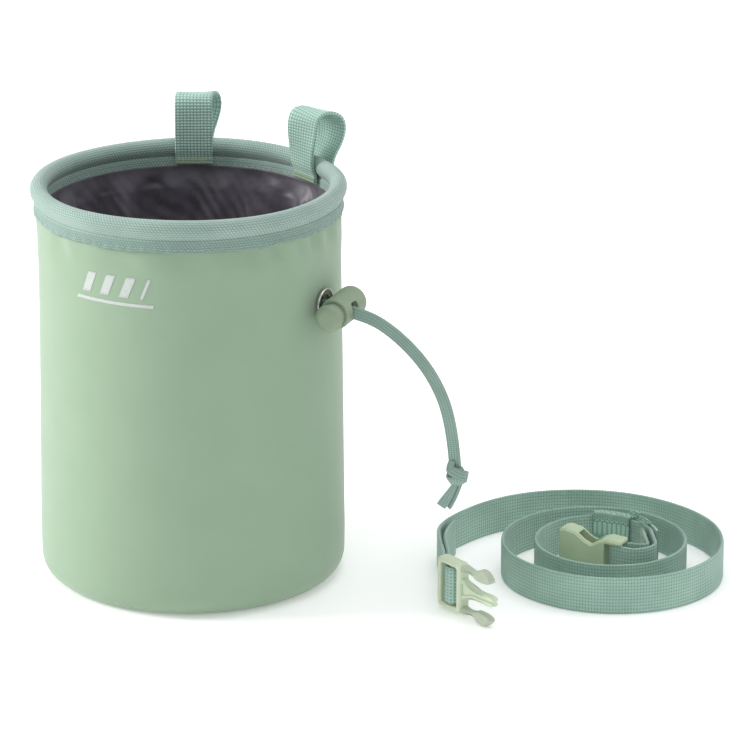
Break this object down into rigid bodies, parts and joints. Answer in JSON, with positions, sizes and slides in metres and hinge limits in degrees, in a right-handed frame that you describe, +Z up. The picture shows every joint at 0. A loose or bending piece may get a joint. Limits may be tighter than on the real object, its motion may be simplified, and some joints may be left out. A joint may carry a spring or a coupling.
{
  "type": "chalk bag with waist belt",
  "caption": "Cylindrical chalk bag with a hooped rim, drawcord lining, sprung cord lock and two belt loops, beside its coiled webbing waist belt with a side-release buckle.",
  "frame": {"origin": "centre of the bag's base, on the surface that it stands on", "axes": "+Z up, -Y the printed front, +X the side with the eyelet and cord lock, +Y the back with the two belt loops"},
  "size_m": [0.255, 0.178, 0.1772],
  "materials": {
    "shell": "coated plain-weave polyester, satin",
    "binding": "fine ribbed binding tape",
    "webbing": "woven polyester webbing",
    "keeper_elastic": "coarse diagonal-weave elastic",
    "lining": "satin-weave nylon, crinkled",
    "pocket": "soft fleece-backed nylon",
    "casing": "satin-weave nylon",
    "foam": "closed-cell foam sheet",
    "board": "polypropylene board",
    "hoop": "stiff nylon rod",
    "thread": "polyester thread, bar tacked",
    "drawcord": "flat braided polyester cord",
    "nickel": "nickel-plated brass",
    "lock_plastic": "moulded acetal, fine satin",
    "buckle_plastic": "moulded acetal, fine satin",
    "spring_steel": "spring steel wire"
  },
  "bodies": {
    "bag": {"outer_shell": "shell", "base_panel": "shell", "base_stiffener": "board", "wall_stiffener": "foam", "rim_hoop": "hoop", "rim_binding": "binding", "lining_collar": "lining", "cord_casing": "casing", "inner_pocket": "pocket", "eyelet": "nickel", "eyelet_washer": "nickel", "drawcord_loop": "drawcord", "drawcord_tail": "drawcord", "drawcord_knot": "drawcord", "belt_loop_left": "webbing", "belt_loop_right": "webbing", "loop_bartacks": "thread"},
    "cord_lock": {"cord_lock_barrel": "lock_plastic", "cord_lock_spring": "spring_steel"},
    "lock_button": {"cord_lock_button": "lock_plastic"},
    "belt": {"belt_webbing": "webbing", "belt_keeper": "keeper_elastic", "belt_bartacks": "thread"},
    "male_buckle": {"male_buckle_frame": "buckle_plastic"},
    "upper_prong": {"male_prong_upper": "buckle_plastic"},
    "lower_prong": {"male_prong_lower": "buckle_plastic"},
    "female_buckle": {"female_buckle": "buckle_plastic"}
  },
  "joints": [
    {"name": "lock_travel", "type": "hinge", "parent": "bag", "child": "cord_lock", "pos_m": [0.06644, 0, 0.0682], "axis": [0, 1, 0], "range_deg": [0, 62]},
    {"name": "button_press", "type": "slide", "parent": "cord_lock", "child": "lock_button", "axis": [0, 0.9945, 0.1045], "range_m": [0, 0.003], "stiffness_N_per_m": 400, "springref_m": -0.002, "deforming": ["cord_lock_spring"]},
    {"name": "belt_apart", "type": "slide", "parent": "bag", "child": "belt", "axis": [1, 0, 0], "range_m": [0, 0.15]},
    {"name": "male_buckle_swing", "type": "hinge", "parent": "belt", "child": "male_buckle", "pos_m": [0.11305, 0.00296, 0.0112], "axis": [0, 0, 1], "range_deg": [-4, 18]},
    {"name": "upper_prong_flex", "type": "hinge", "parent": "male_buckle", "child": "upper_prong", "pos_m": [0.11917, 0.00011, 0.0194], "axis": [0.4226, 0.9063, 0], "range_deg": [0, 6], "stiffness_Nm_per_rad": 0.3},
    {"name": "lower_prong_flex", "type": "hinge", "parent": "male_buckle", "child": "lower_prong", "pos_m": [0.11917, 0.00011, 0.003], "axis": [0.4226, 0.9063, 0], "range_deg": [-6, 0]},
    {"name": "female_buckle_swing", "type": "hinge", "parent": "belt", "child": "female_buckle", "pos_m": [0.15909, 0.05402, 0.0112], "axis": [0, 0, 1], "range_deg": [-12, 12]}
  ],
  "couplings": [
    {"joint": "lower_prong_flex", "follows": "upper_prong_flex", "ratio": -1}
  ]
}
